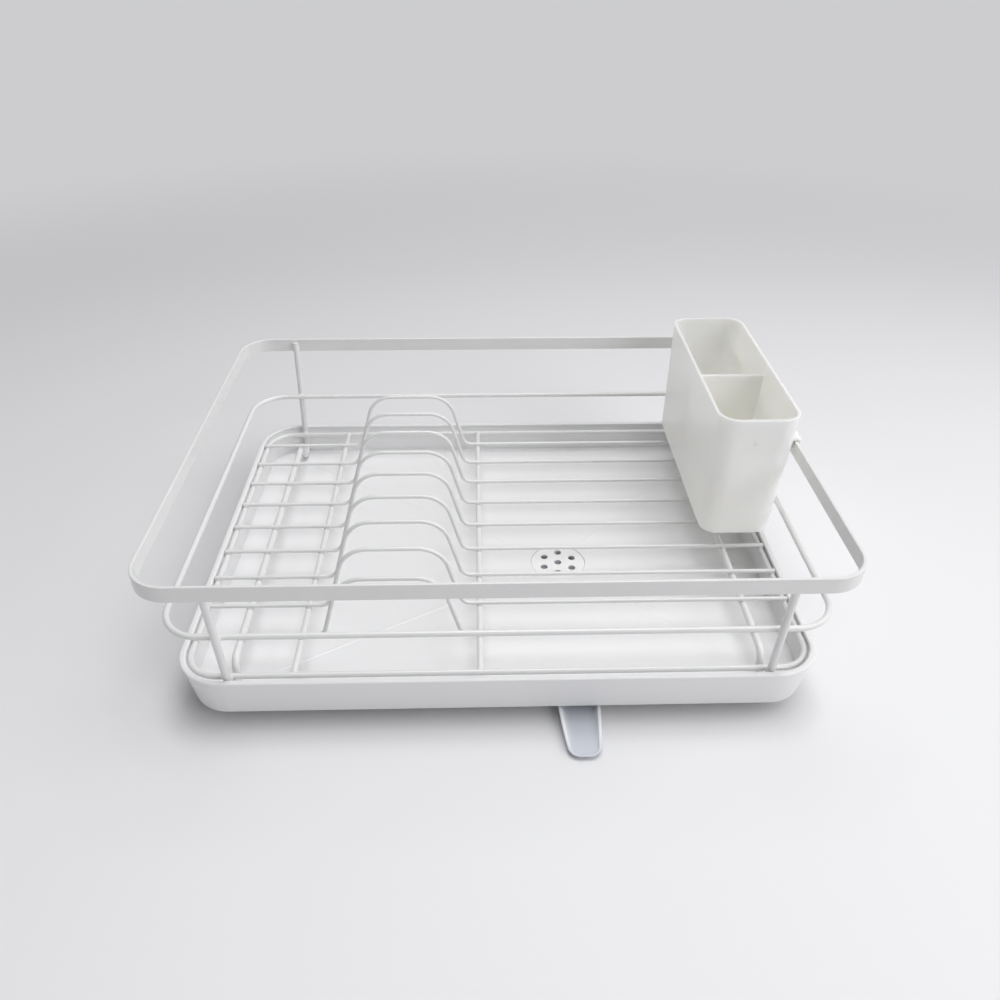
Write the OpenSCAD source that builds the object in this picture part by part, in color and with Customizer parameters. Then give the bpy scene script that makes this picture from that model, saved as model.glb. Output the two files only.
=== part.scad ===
// Dish drying rack: a coated wire basket with nine plate hoops that stands in a
// moulded drip tray, with a utensil bin hung on the rim and a swivel drain spout.
// X runs along the sink, -Y is the front, Z is up and Z = 0 is the counter.

/* [Basket strip and loops] */
// Length of the flat strip that closes the top of the basket
rim_l = 429; // [424:1:434]
// Depth of the top strip from front to back
rim_w = 336; // [334:1:340]
// Outer corner radius of the top strip
rim_corner = 25; // [20:1:32]
// Thickness of the strip, which stands on edge
strip_t = 2.2; // [1.8:0.1:2.4]
// Height of the strip
strip_h = 11; // [9:0.5:13]
// Height of the strip's top edge above the counter
rim_top = 121.7; // [118:0.5:126]
// Wire diameter of the middle and the lower loop
loop_d = 4; // [3.5:0.1:4.2]
// Length of the middle loop, measured to the middle of its wire
mid_l = 416; // [415:0.5:418]
// Height of the middle loop's wire
mid_z = 71.7; // [68.7:0.5:75.7]
// Length of the lower loop, measured to the middle of its wire
base_l = 399; // [396:0.5:399]
// Depth of the lower loop, measured to the middle of its wire
base_w = 301; // [299:0.5:301]
// Corner radius of the lower loop, measured to the middle of its wire
base_corner = 21; // [20:1:26]
// Height of the lower loop's wire
base_z = 34.7; // [34.6:0.1:35]

/* [Leg wires] */
// Diameter of the two leg wires
leg_d = 5; // [4.6:0.1:5.2]
// Distance of each leg wire from the middle of the rack
leg_x = 170.5; // [168:0.5:173]
// Radius of the round foot that stands in the tray
foot_bend = 8.5; // [8:0.25:9]
// Radius of the bend where a foot turns into the run under the grid
run_bend = 8; // [7.5:0.25:8.2]

/* [Plate wires] */
// Diameter of the nine plate wires
plate_d = 3; // [2.6:0.1:3.2]
// Spacing of the plate wires
plate_pitch = 30.5; // [29.5:0.1:30.7]
// How far the set of plate wires sits behind the middle of the basket
plate_shift = 3.5; // [0:0.5:4]
// Position of the hoops along the rack
hoop_x = -70; // [-75:1:-65]
// Rise of a hoop above its wire
hoop_rise = 47.5; // [44:0.5:52]
// Flat length on top of a hoop
hoop_flat = 33; // [28:1:38]
// Slope of a hoop's sides from the horizontal
hoop_angle = 74.2; // [68:0.2:80]
// Bend radius of a hoop's shoulders
shoulder_bend = 20.5; // [16:0.5:23]
// Bend radius where a hoop leaves its wire
hoop_foot_bend = 8; // [6:0.5:10]
// Position of the left cross wire
cross_left_x = -130.5; // [-134:0.5:-127]
// Position of the middle cross wire
cross_mid_x = -13; // [-15:0.5:-11]

/* [Drip tray] */
// Length of the tray over its lip
tray_l = 411.4; // [411.2:0.2:411.8]
// Depth of the tray over its lip
tray_w = 324.4; // [324:0.2:324.8]
// Outer corner radius of the lip
tray_corner = 32.3; // [31.3:0.5:33.3]
// Height of the lip's top
tray_top = 39.1; // [39:0.1:40]
// Height of the skirt's lower edge above the counter
skirt_z = 9; // [9:0.1:9.3]
// Wall thickness of the tray
tray_wall = 2.2; // [2:0.1:2.3]
// Width of the flat lip
lip_w = 4; // [3.6:0.1:4.1]
// Thickness of the flat lip
lip_h = 2.2; // [2:0.1:2.3]
// How far the wall leans in from the lip to the skirt's lower edge
tray_lean = 4.2; // [3.8:0.1:4.4]
// Height of the floor along the walls
floor_z = 15; // [14.6:0.1:15]
// Fall of the floor from the walls to the drain
floor_fall = 3; // [2.6:0.1:3]

/* [Drain and spout] */
// Position of the drain along the rack
drain_x = 48.5; // [46:0.5:51]
// Position of the drain in the depth of the rack
drain_y = -12; // [-13:0.5:-11]
// Diameter of the strainer cap
cap_d = 42; // [41:0.5:42.5]
// Diameter of the holes in the strainer cap
hole_d = 5.5; // [4.5:0.5:6]
// Radius of the ring of six holes
hole_ring = 12.3; // [11.5:0.1:12.5]
// Outer diameter of the barrel that carries the spout
barrel_d = 34; // [33.6:0.1:34.4]
// Reach of the spout from the drain's axis to its tip
spout_reach = 182; // [176:0.5:182]
// Width of the spout at its tip
spout_tip_w = 23.4; // [21:0.2:24.6]
// Corner radius of the spout's tip
spout_tip_r = 9; // [7:0.5:10]
// Wall thickness of the spout
spout_wall = 1.5; // [1.3:0.1:1.7]
// Angle that the spout is swung towards the bin
spout_turn = 1; // [0:0.5:1.5]

/* [Utensil bin] */
// Left side of the bin at its mouth
bin_x0 = 151.3; // [148:0.1:153]
// Right side of the bin at its mouth
bin_x1 = 209.2; // [208.6:0.1:209.4]
// Front of the bin at its mouth
bin_y0 = -34; // [-38:0.5:-28]
// Back of the bin at its mouth
bin_y1 = 144; // [140:0.5:145]
// Height of the bin's mouth above the counter
bin_top = 149; // [146:0.5:153]
// Height of the bin's underside above the counter
bin_bottom = 50; // [48:0.5:54]
// Wall thickness of the bin
bin_wall = 2; // [1.8:0.1:2.2]
// How far the divider's top stays below the mouth
divider_drop = 9.5; // [6:0.5:20]

/* [Hidden] */
$fn = 64;

// A welded wire sinks this far into the wire that it touches.
weld = 0.15;
// A wire end that is butt-welded sinks this far into the side of a loop.
butt = 0.3;
// Growth of a wire's diameter in a bend, and how far a straight runs into the bend.
swell = 0.02;
overlap = 0.3;
coat = "white";
plastic = [0.93, 0.93, 0.92];

// The spout reaches out in front, so the basket sits behind the frame's origin.
rack_y = (spout_reach - drain_y - rim_w / 2) / 2;

// Leg wires: the posts touch the outside of both loops and the inside of the strip,
// and the back posts end a little higher than the front ones.
strip_in_y = rim_w / 2 - strip_t;
post_top = rim_top - 5.2;
back_rise = 2.7;
post_base_y = base_w / 2 + loop_d / 2 + leg_d / 2 - weld;
post_tilt = atan((strip_in_y + weld - leg_d / 2 - post_base_y) / (post_top - base_z));
mid_half_w = post_y(mid_z) - leg_d / 2 / cos(post_tilt) - loop_d / 2 + weld;
mid_corner = rim_corner + 2;

// Plate wires lie on the lower loop, and the leg runs and cross wires touch them from below.
plate_z = base_z + loop_d / 2 + plate_d / 2 - weld;
plate_half = base_l / 2 + 1.3;
run_z = plate_z - plate_d / 2 - leg_d / 2 + weld;
cross_z = plate_z - plate_d / 2 - loop_d / 2 + weld;
plate_count = 9;

// Tray: the lip's outer line is the path that every wall profile follows.
tray_half_l = tray_l / 2;
tray_half_w = tray_w / 2;
lip_setback = 0.9;
floor_t = 2;
floor_in = tray_lean + lip_setback;
seat_z = 10.6;
boss_z = 8.6;
pad_d = 11;
pad_x = tray_half_l - tray_corner + 12;
pad_y = tray_half_w - tray_corner + 12;
stem_d = 5;
stem_h = 3.8;

// Spout: its collar turns between the tray's boss and the barrel's snap rim.
hub_r = 23;
spout_z = 1.5;
spout_top = 8.3;
collar_z = 6.4;
barrel_z = 4.8;
barrel_wall = 1.6;
snap_r = barrel_d / 2 + 1.2;

// Utensil bin: the inner side is almost upright and the side next to the rim leans.
bin_lean_in = 0.3;
bin_lean_rim = 5.4;
bin_lean_front = 4.5;
bin_r_top = 14.3;
bin_r_bottom = 12.6;
bin_edge = 3.5;
divider_t = 1.8;
bin_mid_y = (bin_y0 + bin_y1) / 2;
hook_w = 20;
hook_inset = 28;

// Height of the sloping tray floor above the counter at a point.
function floor_height(x, y) = floor_z - floor_fall * min(
  (tray_half_l - floor_in - x) / (tray_half_l - floor_in - drain_x),
  (tray_half_l - floor_in + x) / (tray_half_l - floor_in + drain_x),
  (tray_half_w - floor_in - y) / (tray_half_w - floor_in - drain_y),
  (tray_half_w - floor_in + y) / (tray_half_w - floor_in + drain_y)
);

// Distance of a post's middle line from the middle of the basket at height z.
function post_y(z) = post_base_y + (z - base_z) * tan(post_tilt);

// Right side of the utensil bin at height z.
function bin_right(z) = bin_x1 - bin_lean_rim * (bin_top - z) / (bin_top - bin_bottom);

// Point of an arc, for rounded profiles.
function arc(c, r, a0, a1, n) = [
  for (i = [0:n]) c + r * [cos(a0 + (a1 - a0) * i / n), sin(a0 + (a1 - a0) * i / n)]
];

// ---------------------------------------------------------------- shared forms

// Quarter-torus and similar bends, turning from +Z towards +X.
module elbow(d, r, a) {
  translate([r, 0, 0])
    rotate([90, 0, 0])
      rotate([0, 0, 180 - a])
        rotate_extrude(angle = a)
          translate([r, 0])
            circle(d = d);
}

// A wire along +Z that follows a bending list of [straight length, bend angle, bend radius].
// Bends swell by a hair, and each straight runs a little way into them.
module bent_wire(d, steps, i = 0) {
  if (i < len(steps)) {
    run = steps[i][0];
    bend = steps[i][1];
    r = steps[i][2];
    before = i == 0 ? 0 : overlap;
    after = bend == 0 ? 0 : overlap;
    translate([0, 0, -before])
      cylinder(h = before + run + after, d = d);
    if (bend != 0) {
      translate([0, 0, run])
        rotate([0, 0, bend < 0 ? 180 : 0])
          elbow(d + swell, r, abs(bend));
      translate([sign(bend) * r * (1 - cos(bend)), 0, run + r * sin(abs(bend))])
        rotate([0, bend, 0])
          bent_wire(d, steps, i + 1);
    }
  }
}

// Sweeps a profile around a rounded rectangle; the profile's x points outwards from the path.
module around(half_l, half_w, r) {
  for (k = [0:3]) {
    a = k % 2 == 0 ? half_l : half_w;
    b = k % 2 == 0 ? half_w : half_l;
    rotate([0, 0, 90 * k]) {
      translate([a, b - r, 0])
        rotate([90, 0, 0])
          linear_extrude(2 * (b - r))
            children();
      translate([a - r, b - r, 0])
        rotate_extrude(angle = 90)
          translate([r, 0])
            children();
    }
  }
}

// Rectangle from the origin with rounded corners.
module soft_rect(w, h, r) {
  translate([r, 0])
    square([w - 2 * r, h]);
  translate([0, r])
    square([w, h - 2 * r]);
  for (x = [r, w - r], y = [r, h - r])
    translate([x, y])
      circle(r);
}

// Round dish blank with a rounded lower edge, used in pairs and fours to blend moulded shells.
module dish(r, h, edge) {
  rotate_extrude($fn = 40)
    polygon(concat(
      [[0, 0]],
      arc([r - edge, edge], edge, -90, 0, 5),
      [[r, h], [0, h]]
    ));
}

// ---------------------------------------------------------------- basket

module rim_band() {
  color(coat)
    around(rim_l / 2, rim_w / 2, rim_corner)
      translate([-strip_t, rim_top - strip_h])
        soft_rect(strip_t, strip_h, 0.6);
}

module mid_ring() {
  color(coat)
    around(mid_l / 2, mid_half_w, mid_corner)
      translate([0, mid_z])
        circle(d = loop_d);
}

module base_ring() {
  color(coat)
    around(base_l / 2, base_w / 2, base_corner)
      translate([0, base_z])
        circle(d = loop_d);
}

// One wire forms two posts, two U-shaped feet and the run under the grid.
module leg_wire(x) {
  u_z = floor_height(x, -base_w / 2) + 0.1 + leg_d / 2 + foot_bend;
  exit_z = u_z - foot_bend * sin(post_tilt);
  u_y = post_y(exit_z) - foot_bend * cos(post_tilt);
  post = (post_top - exit_z) / cos(post_tilt);
  rise = run_z - run_bend - u_z;
  run = 2 * (u_y - foot_bend - run_bend);
  color(coat)
    translate([x, -post_y(post_top), post_top])
      rotate([post_tilt, 0, 0])
        rotate([180, 0, 90])
          bent_wire(leg_d, [
            [post, 180 - post_tilt, foot_bend],
            [rise, -90, run_bend],
            [run, -90, run_bend],
            [rise, 180 - post_tilt, foot_bend],
            [post + back_rise / cos(post_tilt), 0, 0]
          ]);
}

// Plate wires are counted from the back of the rack.
module plate_wire(k) {
  turn = 1 - cos(hoop_angle);
  slope = (hoop_rise - (shoulder_bend + hoop_foot_bend) * turn) / sin(hoop_angle);
  reach = hoop_flat / 2 + (shoulder_bend + hoop_foot_bend) * sin(hoop_angle) + slope * cos(hoop_angle);
  color(coat)
    translate([-plate_half, plate_shift + plate_pitch * ((plate_count + 1) / 2 - k), plate_z])
      rotate([0, 90, 0])
        bent_wire(plate_d, [
          [plate_half + hoop_x - reach, -hoop_angle, hoop_foot_bend],
          [slope, hoop_angle, shoulder_bend],
          [hoop_flat, hoop_angle, shoulder_bend],
          [slope, -hoop_angle, hoop_foot_bend],
          [plate_half - hoop_x - reach, 0, 0]
        ]);
}

module cross_wire(x) {
  half = base_w / 2 - loop_d / 2 + butt;
  color(coat)
    translate([x, half, cross_z])
      rotate([90, 0, 0])
        cylinder(h = 2 * half, d = loop_d);
}

// ---------------------------------------------------------------- drip tray

// Wall with a flat lip and a rounded lower edge, seen in section.
module tray_section() {
  top = [-lip_setback - tray_wall / 2, tray_top - lip_h / 2];
  bottom = [-lip_setback - tray_lean - tray_wall / 2, skirt_z + tray_wall / 2];
  lean = atan((top[0] - bottom[0]) / (top[1] - bottom[1]));
  translate(bottom) {
    circle(d = tray_wall);
    rotate(-lean)
      translate([-tray_wall / 2, 0])
        square([tray_wall, norm(top - bottom)]);
  }
  translate([-lip_w, tray_top - lip_h])
    soft_rect(lip_w, lip_h, lip_h / 2 - 0.05);
}

// Four sloping planes that meet in creases running from the corners to the drain.
module tray_floor() {
  hl = tray_half_l - floor_in;
  hw = tray_half_w - floor_in;
  top = [[hl, hw, floor_z], [-hl, hw, floor_z], [-hl, -hw, floor_z], [hl, -hw, floor_z],
         [drain_x, drain_y, floor_z - floor_fall]];
  under = [for (p = top) p - [0, 0, floor_t]];
  intersection() {
    polyhedron(
      points = concat(top, under),
      faces = [
        [1, 0, 4], [2, 1, 4], [3, 2, 4], [0, 3, 4],
        [5, 6, 9], [6, 7, 9], [7, 8, 9], [8, 5, 9],
        [0, 1, 6, 5], [1, 2, 7, 6], [2, 3, 8, 7], [3, 0, 5, 8]
      ]
    );
    translate([-hl, -hw, 0])
      linear_extrude(floor_z + 5)
        soft_rect(2 * hl, 2 * hw, tray_corner - floor_in);
  }
}

module drip_tray() {
  color(plastic)
    difference() {
      union() {
        around(tray_half_l, tray_half_w, tray_corner)
          tray_section();
        tray_floor();
        translate([drain_x, drain_y, boss_z])
          cylinder(h = floor_z - floor_fall - boss_z, r = hub_r);
        for (x = [-pad_x, pad_x], y = [-pad_y, pad_y])
          translate([x, y, skirt_z])
            cylinder(h = floor_z - floor_t - skirt_z + 1, d = pad_d);
      }
      translate([drain_x, drain_y, seat_z])
        cylinder(h = 10, d = cap_d + 0.3);
      translate([drain_x, drain_y, 0])
        cylinder(h = 20, d = barrel_d + 0.2);
      for (x = [-pad_x, pad_x], y = [-pad_y, pad_y])
        translate([x, y, 0])
          cylinder(h = skirt_z + stem_h + 0.2, d = stem_d + 0.1);
    }
}

// Soft pad: a short tapered foot with a stem that plugs into the tray's boss.
module tray_foot(sx, sy) {
  color("silver")
    translate([sx * pad_x, sy * pad_y, 0]) {
      cylinder(h = skirt_z - 0.05, d1 = pad_d - 1, d2 = pad_d);
      cylinder(h = skirt_z + stem_h, d = stem_d);
    }
}

// ---------------------------------------------------------------- drain and spout

// Perforated cap; the barrel below it snaps through the spout's collar.
module drain_strainer() {
  inner = barrel_d / 2 - barrel_wall;
  color("white")
    translate([drain_x, drain_y, 0])
      difference() {
        rotate_extrude()
          polygon([
            [0, seat_z + 0.1],
            [inner, seat_z + 0.1],
            [inner, barrel_z],
            [snap_r - 0.9, barrel_z],
            [snap_r, barrel_z + 0.9],
            [snap_r, collar_z - 0.2],
            [barrel_d / 2, collar_z - 0.2],
            [barrel_d / 2, seat_z],
            [cap_d / 2, seat_z],
            [cap_d / 2, seat_z + 1],
            [cap_d / 2 - 0.5, seat_z + 1.5],
            [0, seat_z + 1.5]
          ]);
        for (a = [-4:60:296])
          rotate([0, 0, 90 + a])
            translate([hole_ring, 0, 0])
              cylinder(h = 20, d = hole_d);
        cylinder(h = 20, d = hole_d);
        for (a = [0:90:270])
          rotate([0, 0, a + 45])
            translate([inner - 1, -0.8, 0])
              cube([4, 1.6, seat_z - 1.2]);
      }
}

// Trough blended between the hub and the blunt tip; inset shrinks it evenly to cut the inside.
module trough(inset, z0, z1, edge) {
  side = spout_tip_w / 2 - spout_tip_r;
  hull() {
    translate([0, 0, z0])
      dish(hub_r - inset, z1 - z0, edge);
    for (x = [-side, side])
      translate([x, spout_tip_r - spout_reach, z0])
        dish(spout_tip_r - inset, z1 - z0, edge);
  }
}

// The spout's collar turns on the barrel, and its sides come down towards the tip.
module drain_spout() {
  lip_fall = 5;
  slope_l = 58;
  color([0.85, 0.88, 0.92, 0.6])
    translate([drain_x, drain_y, 0])
    rotate([0, 0, spout_turn]) {
      difference() {
        trough(0, spout_z, spout_top, 5);
        trough(spout_wall, spout_z + spout_wall, spout_top + 1, 4.2);
        translate([-30, slope_l - spout_reach, spout_top])
          rotate([atan(lip_fall / slope_l), 0, 0])
            translate([0, -2 * slope_l, 0])
              cube([60, 2 * slope_l, 20]);
      }
      translate([0, 0, collar_z])
        difference() {
          cylinder(h = spout_top - collar_z, r = hub_r - 0.5);
          translate([0, 0, -1])
            cylinder(h = 10, d = barrel_d + 0.2);
        }
    }
}

// ---------------------------------------------------------------- utensil bin

// Tapered box with round corners; inset shrinks it evenly to cut the inside.
module bin_block(inset, z0, z1, edge) {
  r1 = bin_r_top - inset;
  r0 = bin_r_bottom - inset;
  hull() {
    for (x = [bin_x0 + inset + r1, bin_x1 - inset - r1], y = [bin_y0 + inset + r1, bin_y1 - inset - r1])
      translate([x, y, z1 - 0.5])
        cylinder(h = 0.5, r = r1, $fn = 40);
    for (x = [bin_x0 + bin_lean_in + inset + r0, bin_x1 - bin_lean_rim - inset - r0],
         y = [bin_y0 + bin_lean_front + inset + r0, bin_y1 - inset - r0])
      translate([x, y, z0])
        dish(r0, edge + 0.5, edge);
  }
}

// Hook over the strip, seen along the rack's depth: web, strap and outer lip.
module hook_section() {
  strap = 3;
  gap = 0.4;
  lip = 2;
  inner_x = rim_l / 2 - strip_t - 0.5;
  outer_x = rim_l / 2 + gap;
  under = rim_top + 0.05;
  polygon(concat(
    [
      [bin_right(114) - 1, 114],
      [inner_x, 117],
      [inner_x, under],
      [outer_x, under],
      [outer_x, 111.5],
      [outer_x + lip - 0.8, 111.5],
      [outer_x + lip, 112.5]
    ],
    arc([outer_x, under + strap - lip], lip, 0, 90, 6),
    [[bin_right(under + strap) - 1, under + strap]]
  ));
}

module utensil_holder() {
  color("ivory")
    difference() {
      union() {
        difference() {
          bin_block(0, bin_bottom, bin_top, bin_edge);
          bin_block(bin_wall, bin_bottom + bin_wall + 0.2, bin_top + 1, bin_edge);
        }
        translate([0, bin_mid_y + divider_t / 2, 0])
          rotate([90, 0, 0])
            linear_extrude(divider_t)
              polygon([
                [bin_x0 + bin_lean_in + 1, bin_bottom + 1],
                [bin_right(bin_bottom) - 1, bin_bottom + 1],
                [bin_right(bin_top - divider_drop) - 1, bin_top - divider_drop],
                [bin_x0 + 1, bin_top - divider_drop]
              ]);
        for (y = [bin_y0 + hook_inset, bin_y1 - hook_inset])
          translate([0, y + hook_w / 2, 0])
            rotate([90, 0, 0])
              linear_extrude(hook_w)
                hook_section();
      }
      for (side = [-1, 1], i = [0:3], x = [166, 178, 190])
        translate([x, bin_mid_y + side * (14 + 18 * i), bin_bottom - 5])
          cylinder(h = 12, d = 6);
    }
}

// ---------------------------------------------------------------- nodes

module in_place() {
  translate([0, rack_y, 0])
    children();
}

in_place() rim_band();
in_place() mid_ring();
in_place() base_ring();
in_place() leg_wire(-leg_x);  // leg_wire_left
in_place() leg_wire(leg_x);  // leg_wire_right
in_place() plate_wire(1);  // plate_wire_1
in_place() plate_wire(2);  // plate_wire_2
in_place() plate_wire(3);  // plate_wire_3
in_place() plate_wire(4);  // plate_wire_4
in_place() plate_wire(5);  // plate_wire_5
in_place() plate_wire(6);  // plate_wire_6
in_place() plate_wire(7);  // plate_wire_7
in_place() plate_wire(8);  // plate_wire_8
in_place() plate_wire(9);  // plate_wire_9
in_place() cross_wire(cross_left_x);  // cross_wire_left
in_place() cross_wire(cross_mid_x);  // cross_wire_mid
in_place() utensil_holder();
in_place() drip_tray();
in_place() tray_foot(-1, -1);  // tray_foot_front_left
in_place() tray_foot(1, -1);  // tray_foot_front_right
in_place() tray_foot(-1, 1);  // tray_foot_back_left
in_place() tray_foot(1, 1);  // tray_foot_back_right
in_place() drain_strainer();
in_place() drain_spout();
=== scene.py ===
"""Dish drying rack: coated wire basket, moulded drip tray, utensil bin and swivel drain spout."""
import math

import bmesh
import bpy
from mathutils import Matrix, Vector, noise


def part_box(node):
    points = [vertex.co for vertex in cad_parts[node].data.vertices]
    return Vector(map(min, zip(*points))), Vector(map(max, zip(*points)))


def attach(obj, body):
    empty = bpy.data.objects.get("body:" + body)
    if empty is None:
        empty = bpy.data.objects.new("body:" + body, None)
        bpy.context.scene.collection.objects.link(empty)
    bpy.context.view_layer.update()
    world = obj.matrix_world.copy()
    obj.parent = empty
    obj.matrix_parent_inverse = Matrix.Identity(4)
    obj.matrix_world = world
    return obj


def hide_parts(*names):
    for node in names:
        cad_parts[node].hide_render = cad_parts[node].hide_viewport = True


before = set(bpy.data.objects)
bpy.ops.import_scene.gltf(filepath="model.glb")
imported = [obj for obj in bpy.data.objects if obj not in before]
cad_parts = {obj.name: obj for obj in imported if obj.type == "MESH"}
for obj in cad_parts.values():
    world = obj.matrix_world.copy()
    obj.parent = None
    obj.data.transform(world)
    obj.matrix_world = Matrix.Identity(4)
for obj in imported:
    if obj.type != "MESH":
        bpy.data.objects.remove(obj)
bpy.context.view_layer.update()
scene = bpy.context.scene


# ---------------------------------------------------------------- camera
# The camera stands some 36 cm in front of the rack and 44 cm above the counter.
# It looks down by 34 degrees and a touch to the right.
look_down = 0.60093
look_right = 0.02993
lean_over = 0.0057

camera_data = bpy.data.cameras.new("camera")
camera_data.sensor_width = 36.0
camera_data.lens = 31.32
camera_data.clip_start = 0.02
camera_data.clip_end = 60.0
camera = bpy.data.objects.new("camera", camera_data)
camera.location = (-0.01283, -0.53004, 0.43574)
camera.rotation_euler = (math.pi / 2 - look_down, 0.0, -look_right)
camera.rotation_euler.rotate_axis("Z", lean_over)
scene.collection.objects.link(camera)
scene.camera = camera


# ---------------------------------------------------------------- counter and light
# The rack stands on a matt, pale grey paper sweep. Soft lamps hang above it, to its
# right and in front on the right, and weak light comes from all round.
def srgb(code):
    """Linear RGBA of an sRGB hex colour."""
    parts = [int(code[i:i + 2], 16) / 255 for i in (1, 3, 5)]
    return tuple(c / 12.92 if c <= 0.04045 else ((c + 0.055) / 1.055) ** 2.4 for c in parts) + (1.0,)


def add(tree, kind, links=None, **settings):
    """One node with its settings; a name the node has is set on it, any other on its socket."""
    node = tree.nodes.new(kind)
    for name, value in settings.items():
        if hasattr(node, name):
            setattr(node, name, value)
        else:
            node.inputs[name.replace("_", " ")].default_value = value
    for socket, source in (links or {}).items():
        tree.links.new(source, node.inputs[socket])
    return node


def finish(name, build):
    """A named material whose nodes build() draws; build returns the surface shader's node."""
    material = bpy.data.materials.new(name)
    material.use_nodes = True
    tree = material.node_tree
    tree.nodes.clear()
    shader = build(tree)
    add(tree, "ShaderNodeOutputMaterial", {"Surface": shader.outputs[0]})
    return material


def waves(mm):
    """The noise scale that draws a pattern this many millimetres long."""
    return 1000.0 / mm


# The sheet's colour is painted darker from near_y to far_y, a painted shade towards the back, and it fades
# into the wall behind it from lit_reach to dim_reach out from the rack's middle.
near_y, far_y = -0.30, 0.70
lit_reach, dim_reach = 0.50, 1.5
wall_grey = "#CDCDCF"


def paper_sweep(tree):
    """Uncoated paper has no gloss, so it takes soft shadows and shows no reflection."""
    place = add(tree, "ShaderNodeTexCoord").outputs["Object"]
    axes = add(tree, "ShaderNodeSeparateXYZ", {"Vector": place})
    depth = add(tree, "ShaderNodeMapRange", {"Value": axes.outputs["Y"]}, From_Min=near_y, From_Max=far_y)
    # Painted shade: the sheet's colour runs darker towards the back.
    painted_falloff_shade = add(tree, "ShaderNodeValToRGB", {"Fac": depth.outputs["Result"]})
    painted_falloff_shade.color_ramp.elements[0].color = srgb("#E8E8EA")
    painted_falloff_shade.color_ramp.elements[1].color = srgb("#D6D6D8")
    # The paper's fibres are far finer, and are drawn as 4 mm clouds so that they show.
    fibre = add(tree, "ShaderNodeTexNoise", {"Vector": place}, Scale=waves(4.0), Detail=2.0)
    bump = add(tree, "ShaderNodeBump", {"Height": fibre.outputs["Fac"]}, Strength=0.03, Distance=0.0004)
    near = add(tree, "ShaderNodeBsdfPrincipled",
               {"Base Color": painted_falloff_shade.outputs["Color"], "Normal": bump.outputs["Normal"]},
               Roughness=0.85, IOR=1.45)
    # Past the lamps' reach the sweep holds the pale grey of the wall behind it.
    far = add(tree, "ShaderNodeEmission", Color=srgb(wall_grey), Strength=1.0)
    span = add(tree, "ShaderNodeVectorMath", {"Vector": place}, operation="LENGTH")
    reach = add(tree, "ShaderNodeMapRange", {"Value": span.outputs["Value"]},
                interpolation_type="SMOOTHSTEP", From_Min=lit_reach, From_Max=dim_reach)
    seen = add(tree, "ShaderNodeLightPath").outputs["Is Camera Ray"]
    share = add(tree, "ShaderNodeMath", operation="MULTIPLY")
    tree.links.new(reach.outputs["Result"], share.inputs[0])
    tree.links.new(seen, share.inputs[1])
    sheet = add(tree, "ShaderNodeMixShader", {"Fac": share.outputs[0]})
    tree.links.new(near.outputs[0], sheet.inputs[1])
    tree.links.new(far.outputs[0], sheet.inputs[2])
    return sheet


counter_r = 14.0
bm = bmesh.new()
bmesh.ops.create_circle(bm, cap_ends=True, radius=counter_r, segments=96)
counter_mesh = bpy.data.meshes.new("counter")
bm.to_mesh(counter_mesh)
bm.free()
counter = bpy.data.objects.new("counter", counter_mesh)
counter.data.materials.append(finish("matt_paper", paper_sweep))
scene.collection.objects.link(counter)

lamps_aim = Vector((0.0, 0.0, 0.05))
for name, place, width, height, watts in [
        ("overhead_softbox", (0.22, 0.22, 1.8), 1.5, 1.1, 21.0),
        ("right_softbox", (1.6, 0.0, 0.9), 1.2, 1.0, 7.5),
        ("front_right_softbox", (1.3, -1.3, 1.2), 1.0, 1.0, 11.5)]:
    lamp_data = bpy.data.lights.new(name, "AREA")
    lamp_data.shape = "RECTANGLE"
    lamp_data.size = width
    lamp_data.size_y = height
    lamp_data.energy = watts
    lamp = bpy.data.objects.new(name, lamp_data)
    lamp.location = place
    lamp.rotation_euler = (lamps_aim - lamp.location).to_track_quat("-Z", "Y").to_euler()
    scene.collection.objects.link(lamp)

# The room's weak light reaches the rack; what is seen straight, or through plastic, is the wall.
world = bpy.data.worlds.new("studio")
world.use_nodes = True
sky = world.node_tree
sky.nodes.clear()
path = add(sky, "ShaderNodeLightPath")
straight = add(sky, "ShaderNodeMath", operation="MAXIMUM")
sky.links.new(path.outputs["Is Camera Ray"], straight.inputs[0])
sky.links.new(path.outputs["Is Transmission Ray"], straight.inputs[1])
room = add(sky, "ShaderNodeBackground", Color=srgb("#FDFDFE"), Strength=0.28)
wall = add(sky, "ShaderNodeBackground", Color=srgb(wall_grey), Strength=1.0)
both = add(sky, "ShaderNodeMixShader", {"Fac": straight.outputs[0]})
sky.links.new(room.outputs[0], both.inputs[1])
sky.links.new(wall.outputs[0], both.inputs[2])
add(sky, "ShaderNodeOutputWorld", {"Surface": both.outputs[0]})
scene.world = world
scene.view_settings.view_transform = "Standard"


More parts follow.
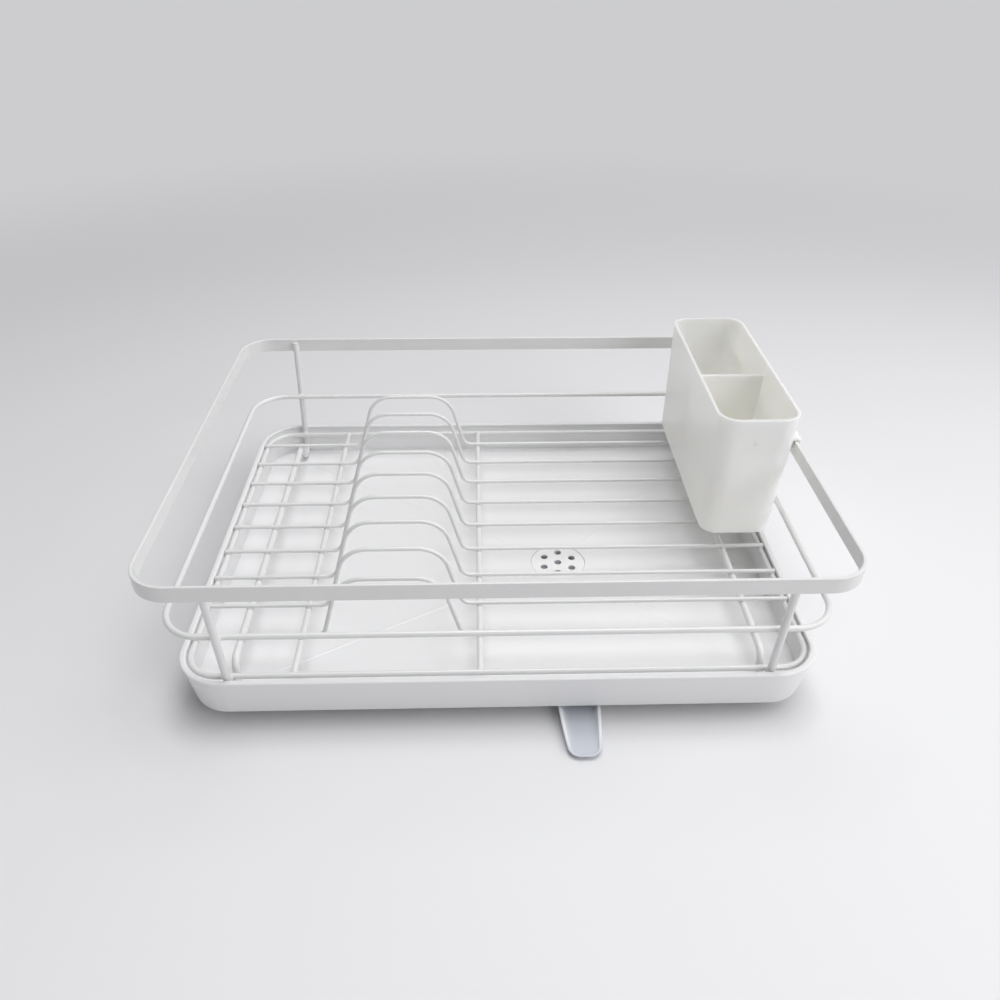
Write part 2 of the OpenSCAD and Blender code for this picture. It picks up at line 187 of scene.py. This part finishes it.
# ---------------------------------------------------------------- basket
# The basket is mild steel: a flat strip on edge, two loops, two bent leg wires, nine
# plate wires and two cross wires, spot-welded and then powder-coated white.
def powder_coat(tree):
    """Baked powder is a satin skin with a faint orange peel, which softens every highlight."""
    place = add(tree, "ShaderNodeTexCoord").outputs["Object"]
    # Orange peel waves are some 1.5 mm long, and are drawn 2 mm long so that they show.
    peel = add(tree, "ShaderNodeTexNoise", {"Vector": place}, Scale=waves(2.0), Detail=2.0)
    bump = add(tree, "ShaderNodeBump", {"Height": peel.outputs["Fac"]}, Strength=0.10, Distance=0.0004)
    # The coat builds up unevenly along a wire, which shifts its gloss over some 15 mm.
    build_up = add(tree, "ShaderNodeTexNoise", {"Vector": place}, Scale=waves(15.4), Detail=3.0)
    gloss = add(tree, "ShaderNodeMapRange", {"Value": build_up.outputs["Fac"]}, To_Min=0.29, To_Max=0.37)
    shade = add(tree, "ShaderNodeValToRGB", {"Fac": build_up.outputs["Fac"]})
    shade.color_ramp.elements[0].color = srgb("#E1E1E1")
    shade.color_ramp.elements[1].color = srgb("#E7E7E7")
    return add(tree, "ShaderNodeBsdfPrincipled",
               {"Base Color": shade.outputs["Color"], "Roughness": gloss.outputs["Result"],
                "Normal": bump.outputs["Normal"]},
               IOR=1.5, Coat_Weight=0.5, Coat_Roughness=0.15)


def wear(node, material):
    """Gives a CAD node its finish."""
    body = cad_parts[node]
    body.data.materials.clear()
    body.data.materials.append(material)


def piece(name, build, material, body):
    """A smooth mesh that build() draws, with its finish and slot, riding on a body."""
    bm = bmesh.new()
    build(bm)
    mesh = bpy.data.meshes.new(name)
    bm.to_mesh(mesh)
    bm.free()
    mesh.shade_smooth()
    mesh.materials.append(material)
    made = bpy.data.objects.new(name, mesh)
    scene.collection.objects.link(made)
    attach(made, body)
    return made


coated_steel = finish("powder_coated_steel", powder_coat)
plate_wires = [f"plate_wire_{k}" for k in range(1, 10)]
leg_wires = ["leg_wire_left", "leg_wire_right"]
cross_wires = ["cross_wire_left", "cross_wire_mid"]
for node in ["rim_band", "mid_ring", "base_ring"] + leg_wires + cross_wires + plate_wires:
    wear(node, coated_steel)

# Spot welds squeeze a small collar of steel out between two wires, and the powder rounds it
# off. Each is a soft, slightly uneven blob over the contact, wider than the thinner wire.
loop_d = 0.004
strip_t = 0.0022
# Half the length, depth and height of each kind of collar, and where two of them sit.
plate_end_weld = (0.0022, 0.0021, 0.0011)
plate_under_weld = (0.0023, 0.0021, 0.0011)
post_loop_weld = (0.0029, 0.0013, 0.0025)
post_strip_weld = (0.0029, 0.0011, 0.0024)
strip_weld_rise = 0.0030
butt_weld = (0.0027, 0.0016, 0.0021)
butt_weld_drop = 0.0016
# Neighbouring collars take their lumps from places far apart, so that no two are alike.
lump_size = 0.10
lump_waves = 1.7
lump_shift = 400.0


def middle(node, axis):
    """The middle of a CAD node's box along one axis."""
    low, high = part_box(node)
    return (low[axis] + high[axis]) / 2


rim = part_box("rim_band")
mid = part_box("mid_ring")
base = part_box("base_ring")
welds = []
for node in plate_wires:
    y = middle(node, 1)
    wire_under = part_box(node)[0][2]
    for x in (base[0][0] + loop_d / 2, base[1][0] - loop_d / 2):
        welds.append(((x, y, wire_under), plate_end_weld))
    for crossing in leg_wires + cross_wires:
        welds.append(((middle(crossing, 0), y, wire_under), plate_under_weld))
for node in leg_wires:
    x = middle(node, 0)
    for side, out in ((0, -1), (1, 1)):
        strip_y = rim[side][1] - out * strip_t
        welds.append(((x, mid[side][1], middle("mid_ring", 2)), post_loop_weld))
        welds.append(((x, base[side][1], middle("base_ring", 2)), post_loop_weld))
        welds.append(((x, strip_y, rim[0][2] + strip_weld_rise), post_strip_weld))
for node in cross_wires:
    wire_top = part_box(node)[1][2]
    for y in (base[0][1] + loop_d, base[1][1] - loop_d):
        welds.append(((middle(node, 0), y, wire_top - butt_weld_drop), butt_weld))


def weld_collars(bm):
    """One lumpy blob at each weld."""
    for centre, size in welds:
        made = bmesh.ops.create_icosphere(bm, subdivisions=2, radius=1.0)
        for vert in made["verts"]:
            lump = 1.0 + lump_size * noise.noise(vert.co * lump_waves + Vector(centre) * lump_shift)
            vert.co = Vector(centre) + Vector([c * s * lump for c, s in zip(vert.co, size)])


piece("weld_collars", weld_collars, coated_steel, "basket")


# ---------------------------------------------------------------- drip tray
# The tray is one injection moulding in white polypropylene. Its floor falls in four
# planes to the drain, and a fine moulded line follows each valley between them.
def moulded_pp(tree):
    """Moulded polypropylene has an even semi-gloss that blurs the wires' reflections."""
    place = add(tree, "ShaderNodeTexCoord").outputs["Object"]
    # The skin's ripple is under a millimetre long, and is drawn 2.2 mm long so that it shows.
    skin = add(tree, "ShaderNodeTexNoise", {"Vector": place}, Scale=waves(2.22), Detail=1.0)
    bump = add(tree, "ShaderNodeBump", {"Height": skin.outputs["Fac"]}, Strength=0.03, Distance=0.0002)
    gloss = add(tree, "ShaderNodeMapRange", {"Value": skin.outputs["Fac"]}, To_Min=0.29, To_Max=0.34)
    return add(tree, "ShaderNodeBsdfPrincipled",
               {"Roughness": gloss.outputs["Result"], "Normal": bump.outputs["Normal"]},
               Base_Color=srgb("#EDEDEE"), IOR=1.49)


tray_plastic = finish("moulded_polypropylene", moulded_pp)
wear("drip_tray", tray_plastic)

tray_low, tray_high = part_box("drip_tray")
cap_low, cap_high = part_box("drain_strainer")
drain_x = middle("drain_strainer", 0)
drain_y = middle("drain_strainer", 1)
cap_r = (cap_high[0] - cap_low[0]) / 2
# The floor's corners stand in from the tray's box, and the floor falls towards the drain.
floor_inset = 0.0051
floor_low_z = 0.012
floor_fall = 0.003
# Each line starts beside the seat, rises from nothing and fades out short of its corner.
line_half_w = 0.0012
line_h = 0.0003
line_root = 0.00005
line_start = 0.0006
line_short = 0.0136
line_steps = 40
line_sides = 6
rise_steps = 2
fade_steps = 4


def valley_lines(bm):
    """A low rounded line along each valley, from the drain's seat to short of the floor's corner."""
    centre = Vector((drain_x, drain_y, 0.0))
    for x in (tray_low[0] + floor_inset, tray_high[0] - floor_inset):
        for y in (tray_low[1] + floor_inset, tray_high[1] - floor_inset):
            run = Vector((x, y, 0.0)) - centre
            length = run.length
            across = Vector((-run.y, run.x, 0.0)) / length
            rings = []
            for step in range(line_steps + 1):
                t = (cap_r + line_start + (length - cap_r - line_short) * step / line_steps) / length
                taper = min(1.0, step / rise_steps, (line_steps - step) / fade_steps)
                foot = centre + run * t
                foot.z = floor_low_z + floor_fall * t
                ring = []
                for i in range(line_sides + 1):
                    a = math.pi * i / line_sides
                    up = Vector((0.0, 0.0, line_h * taper * math.sin(a) - line_root))
                    ring.append(bm.verts.new(foot + across * (line_half_w * math.cos(a)) + up))
                rings.append(ring)
            for one, two in zip(rings, rings[1:]):
                for i in range(line_sides):
                    bm.faces.new((one[i], one[i + 1], two[i + 1], two[i]))
    bmesh.ops.recalc_face_normals(bm, faces=bm.faces)
    if sum(f.normal.z for f in bm.faces) < 0:
        bmesh.ops.reverse_faces(bm, faces=bm.faces)


piece("valley_lines", valley_lines, tray_plastic, "tray")


# ---------------------------------------------------------------- drain
# The strainer is a separate cap in white polypropylene that snaps through the spout's
# collar and holds it to the tray. Its mould is eroded, which leaves it a shade duller.
def strainer_pp(tree):
    """Eroded polypropylene scatters its highlight, so the cap looks flatter than the tray."""
    place = add(tree, "ShaderNodeTexCoord").outputs["Object"]
    # Spark-eroded steel has craters of 0.1 mm, which are drawn as a grain of 0.8 mm.
    grain = add(tree, "ShaderNodeTexNoise", {"Vector": place}, Scale=waves(0.83), Detail=2.0)
    bump = add(tree, "ShaderNodeBump", {"Height": grain.outputs["Fac"]}, Strength=0.12, Distance=0.0002)
    gloss = add(tree, "ShaderNodeMapRange", {"Value": grain.outputs["Fac"]}, To_Min=0.36, To_Max=0.48)
    return add(tree, "ShaderNodeBsdfPrincipled",
               {"Roughness": gloss.outputs["Result"], "Normal": bump.outputs["Normal"]},
               Base_Color=srgb("#EFEFEF"), IOR=1.49)


wear("drain_strainer", finish("eroded_polypropylene", strainer_pp))

# The spout is thin natural polypropylene. It is an open trough: a round hub with a collar,
# and sides that run together and come down to a blunt lip.
# Its floor is clearest below clear_z and painted a shaded blue-grey there, and its sides are milky and
# painted a lit white above milky_z.
clear_z, milky_z = 0.0030, 0.0056


def frosted_pp(tree):
    """Natural polypropylene is milky; its colour is painted by height: painted shade in blue-grey on the
    thin floor, painted light in white on the sides.
    """
    place = add(tree, "ShaderNodeTexCoord").outputs["Object"]
    # Its skin dulls a little in patches some 8 mm across.
    haze = add(tree, "ShaderNodeTexNoise", {"Vector": place}, Scale=waves(8.33), Detail=2.0)
    gloss = add(tree, "ShaderNodeMapRange", {"Value": haze.outputs["Fac"]}, To_Min=0.29, To_Max=0.35)
    # The thin floor lets a little light through, and its blue-grey is painted shade that stands in for the
    # counter's shadow seen through it; the upright sides are painted milky white, painted light that stands
    # in for light running along them and leaving at their edges.
    height = add(tree, "ShaderNodeSeparateXYZ", {"Vector": place}).outputs["Z"]
    milk_and_painted_light = add(tree, "ShaderNodeMapRange", {"Value": height},
               interpolation_type="SMOOTHSTEP", From_Min=clear_z, From_Max=milky_z).outputs["Result"]
    # Painted light and shade: blue-grey on the floor, white on the sides, by height alone.
    shade = add(tree, "ShaderNodeValToRGB", {"Fac": milk_and_painted_light})
    shade.color_ramp.elements[0].color = srgb("#D3D7E0")
    shade.color_ramp.elements[1].color = srgb("#F6F8FB")
    clear = add(tree, "ShaderNodeMapRange", {"Value": milk_and_painted_light}, To_Min=0.15, To_Max=0.0)
    return add(tree, "ShaderNodeBsdfPrincipled",
               {"Base Color": shade.outputs["Color"], "Roughness": gloss.outputs["Result"],
                "Transmission Weight": clear.outputs["Result"]}, IOR=1.49)


# The outline is a round hub and two small tip corners, joined by straight sides.
hub_r = 0.023
hub_steps = 48
spout_reach = 0.182
side_steps = 36
tip_r = 0.009
tip_side = 0.0027
tip_steps = 14
lip_steps = 4
spout_turn = math.radians(1.0)
# The wall stands on a thin floor, is hollowed inside and slopes down to the lip.
spout_z = 0.0015
spout_top = 0.0083
spout_wall = 0.0015
spout_floor = spout_z + spout_wall
slope_l = 0.058
lip_fall = 0.0050
rim_round = 0.00029
rim_w = 0.0021
foot_round = 0.005
channel_round = 0.0056
channel_steps = 8
rim_steps = 6
side_rows = 10
# The collar fills the hub's top round the bore that the strainer's barrel turns in.
bore_r = 0.0171
collar_z = 0.0064
collar_r = hub_r - 0.0008
collar_steps = 64


def trough_outline():
    """Points and outward normals round the trough: a hub and two tip corners in a taut band."""
    tip_y = tip_r - spout_reach
    lean = math.asin((hub_r - tip_r) / math.hypot(tip_side, tip_y)) - math.atan2(tip_side, -tip_y)
    corners = []
    for x, y, r, start, end, count in [
            (0.0, 0.0, hub_r, -lean, math.pi + lean, hub_steps),
            (-tip_side, tip_y, tip_r, math.pi + lean, math.pi * 1.5, tip_steps),
            (tip_side, tip_y, tip_r, math.pi * 1.5, math.pi * 2 - lean, tip_steps)]:
        turn = []
        for i in range(count + 1):
            a = start + (end - start) * i / count
            out = Vector((math.cos(a), math.sin(a), 0.0))
            turn.append((Vector((x, y, 0.0)) + out * r, out))
        corners.append(turn)
    rows = []
    straights = (side_steps, lip_steps, side_steps)
    for turn, after, count in zip(corners, corners[1:] + corners[:1], straights):
        rows += turn
        (start, out), goal = turn[-1], after[0][0]
        rows += [(start.lerp(goal, i / count), out) for i in range(1, count)]
    return rows


def foot_inset(z):
    """How far the outside stands in from the outline at a height, where its lower edge is round."""
    below = min(foot_round, max(0.0, foot_round - (z - spout_z)))
    return foot_round - math.sqrt(foot_round ** 2 - below ** 2)


def wall_section(edge_z):
    """Inset and height up the inside of the wall, over its rim at edge_z and down the outside."""
    shoulder_z = edge_z - rim_round
    rise = shoulder_z - spout_floor
    edge_in = foot_inset(shoulder_z)
    section = []
    for i in range(channel_steps + 1):
        a = math.pi / 2 * i / channel_steps
        inset = edge_in + rim_w + channel_round * (1 - math.sin(a))
        section.append((inset, spout_floor + rise * (1 - math.cos(a))))
    for i in range(1, rim_steps):
        a = math.pi * i / rim_steps
        section.append((edge_in + rim_w / 2 * (1 + math.cos(a)), edge_z - rim_round * (1 - math.sin(a))))
    for i in range(side_rows + 1):
        z = shoulder_z - (shoulder_z - spout_z) * (1 - (1 - i / side_rows) ** 2)
        section.append((foot_inset(z), z))
    return section


def spout_shell(bm):
    """The trough's wall swept round its outline, its floor and underside, and the collar."""
    rings = []
    for point, out in trough_outline():
        past_slope = max(0.0, slope_l - spout_reach - point.y)
        ring = []
        for inset, z in wall_section(spout_top - lip_fall * past_slope / slope_l):
            ring.append(bm.verts.new((point.x - out.x * inset, point.y - out.y * inset, z)))
        rings.append(ring)
    for one, two in zip(rings, rings[1:] + rings[:1]):
        for i in range(len(one) - 1):
            bm.faces.new((one[i], one[i + 1], two[i + 1], two[i]))
    bm.faces.new([ring[0] for ring in rings])
    bm.faces.new([ring[-1] for ring in rings])
    corners = ((bore_r, collar_z), (bore_r, spout_top), (collar_r, spout_top), (collar_r, collar_z))
    collar = []
    for i in range(collar_steps + 1):
        a = 2 * math.pi * i / collar_steps
        collar.append([bm.verts.new((r * math.cos(a), r * math.sin(a), z)) for r, z in corners])
    for one, two in zip(collar, collar[1:]):
        for i in range(4):
            bm.faces.new((one[i], one[(i + 1) % 4], two[(i + 1) % 4], two[i]))
    bmesh.ops.remove_doubles(bm, verts=bm.verts, dist=1e-6)
    bmesh.ops.recalc_face_normals(bm, faces=bm.faces)
    bmesh.ops.rotate(bm, verts=bm.verts, cent=(0, 0, 0), matrix=Matrix.Rotation(spout_turn, 3, "Z"))
    bmesh.ops.translate(bm, verts=bm.verts, vec=(drain_x, drain_y, 0.0))


natural_plastic = finish("natural_polypropylene", frosted_pp)
spout = piece("spout_trough", spout_shell, natural_plastic, "spout")
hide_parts("drain_spout")


# ---------------------------------------------------------------- feet
# Four soft pads plug into bosses under the tray's corners and keep it from sliding. They
# are moulded in pale grey soft PVC.
def soft_pvc(tree):
    """Soft PVC is matt and faintly grained, so the pads stay quiet in the tray's shadow."""
    place = add(tree, "ShaderNodeTexCoord").outputs["Object"]
    # Its own grain is finer, and is drawn at 1 mm so that it shows.
    grain = add(tree, "ShaderNodeTexNoise", {"Vector": place}, Scale=waves(1.0), Detail=2.0)
    bump = add(tree, "ShaderNodeBump", {"Height": grain.outputs["Fac"]}, Strength=0.15, Distance=0.0002)
    gloss = add(tree, "ShaderNodeMapRange", {"Value": grain.outputs["Fac"]}, To_Min=0.50, To_Max=0.62)
    return add(tree, "ShaderNodeBsdfPrincipled",
               {"Roughness": gloss.outputs["Result"], "Normal": bump.outputs["Normal"]},
               Base_Color=srgb("#D8DADC"), IOR=1.52)


pad_rubber = finish("soft_pvc", soft_pvc)
for node in ["tray_foot_front_left", "tray_foot_front_right", "tray_foot_back_left", "tray_foot_back_right"]:
    wear(node, pad_rubber)


# ---------------------------------------------------------------- utensil bin
# The bin hangs on the strip by two hooks. It is a thin-walled moulding in ivory
# polypropylene, with one divider and a row of drain holes in each compartment.
def ivory_pp(tree):
    """Light soaks into the ivory plastic and through its walls, which warms the inside."""
    place = add(tree, "ShaderNodeTexCoord").outputs["Object"]
    # The melt ran up the walls, which leaves faint streaks some 12 mm apart and 100 mm long.
    upright = add(tree, "ShaderNodeMapping", {"Vector": place}, Scale=(1.0, 1.0, 0.12))
    streak = add(tree, "ShaderNodeTexNoise", {"Vector": upright.outputs["Vector"]},
                 Scale=waves(12.5), Detail=2.0)
    bump = add(tree, "ShaderNodeBump", {"Height": streak.outputs["Fac"]}, Strength=0.12, Distance=0.0006)
    gloss = add(tree, "ShaderNodeMapRange", {"Value": streak.outputs["Fac"]}, To_Min=0.29, To_Max=0.36)
    shade = add(tree, "ShaderNodeValToRGB", {"Fac": streak.outputs["Fac"]})
    shade.color_ramp.elements[0].color = srgb("#FEFDF5")
    shade.color_ramp.elements[1].color = srgb("#FFFEF7")
    return add(tree, "ShaderNodeBsdfPrincipled",
               {"Base Color": shade.outputs["Color"], "Roughness": gloss.outputs["Result"],
                "Normal": bump.outputs["Normal"]}, IOR=1.49, Subsurface_Weight=1.0,
               Subsurface_Radius=(1.0, 0.97, 0.85), Subsurface_Scale=0.008)


wear("utensil_holder", finish("ivory_polypropylene", ivory_pp))

# The mould's gate leaves a small round scar with a dimple high on the bin's front. The
# front leans back from the mouth to the foot, and each ring is a radius and a height.
bin_low, bin_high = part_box("utensil_holder")
front_lean = 0.0045
gate_from_left = 0.0266
gate_from_front = 0.0009
gate_below_mouth = 0.0192
gate_x = bin_low[0] + gate_from_left
gate_y = bin_low[1] + gate_from_front
gate_z = bin_high[2] - gate_below_mouth
front_slope = front_lean / (bin_high[2] - bin_low[2])
scar_rings = [(0.0003, 0.00002), (0.0006, 0.00004), (0.0009, 0.00006), (0.0012, 0.00005), (0.0015, -0.0001)]
scar_sides = 24


def torn_pp(tree):
    """Plastic torn at the gate is duller than the moulded skin round it."""
    place = add(tree, "ShaderNodeTexCoord").outputs["Object"]
    # The tear's own texture is finer, and is drawn 2 mm long so that it shows.
    tear = add(tree, "ShaderNodeTexNoise", {"Vector": place}, Scale=waves(2.0), Detail=1.0)
    gloss = add(tree, "ShaderNodeMapRange", {"Value": tear.outputs["Fac"]}, To_Min=0.42, To_Max=0.50)
    return add(tree, "ShaderNodeBsdfPrincipled", {"Roughness": gloss.outputs["Result"]},
               Base_Color=srgb("#F3F2EC"), IOR=1.49)


def gate_scar(bm):
    """Rings that follow the sloping front, rise to a low rim and end inside the wall."""
    rings = []
    for r, rise in scar_rings:
        ring = []
        for i in range(scar_sides):
            a = 2 * math.pi * i / scar_sides
            x, z = r * math.cos(a), r * math.sin(a)
            ring.append(bm.verts.new((gate_x + x, gate_y - rise - z * front_slope, gate_z + z)))
        rings.append(ring)
    bm.faces.new(rings[0])
    for one, two in zip(rings, rings[1:]):
        for i in range(scar_sides):
            j = (i + 1) % scar_sides
            bm.faces.new((one[i], one[j], two[j], two[i]))
    bmesh.ops.recalc_face_normals(bm, faces=bm.faces)
    if sum(f.normal.y for f in bm.faces) > 0:
        bmesh.ops.reverse_faces(bm, faces=bm.faces)


piece("gate_scar", gate_scar, finish("gate_scar_polypropylene", torn_pp), "bin")
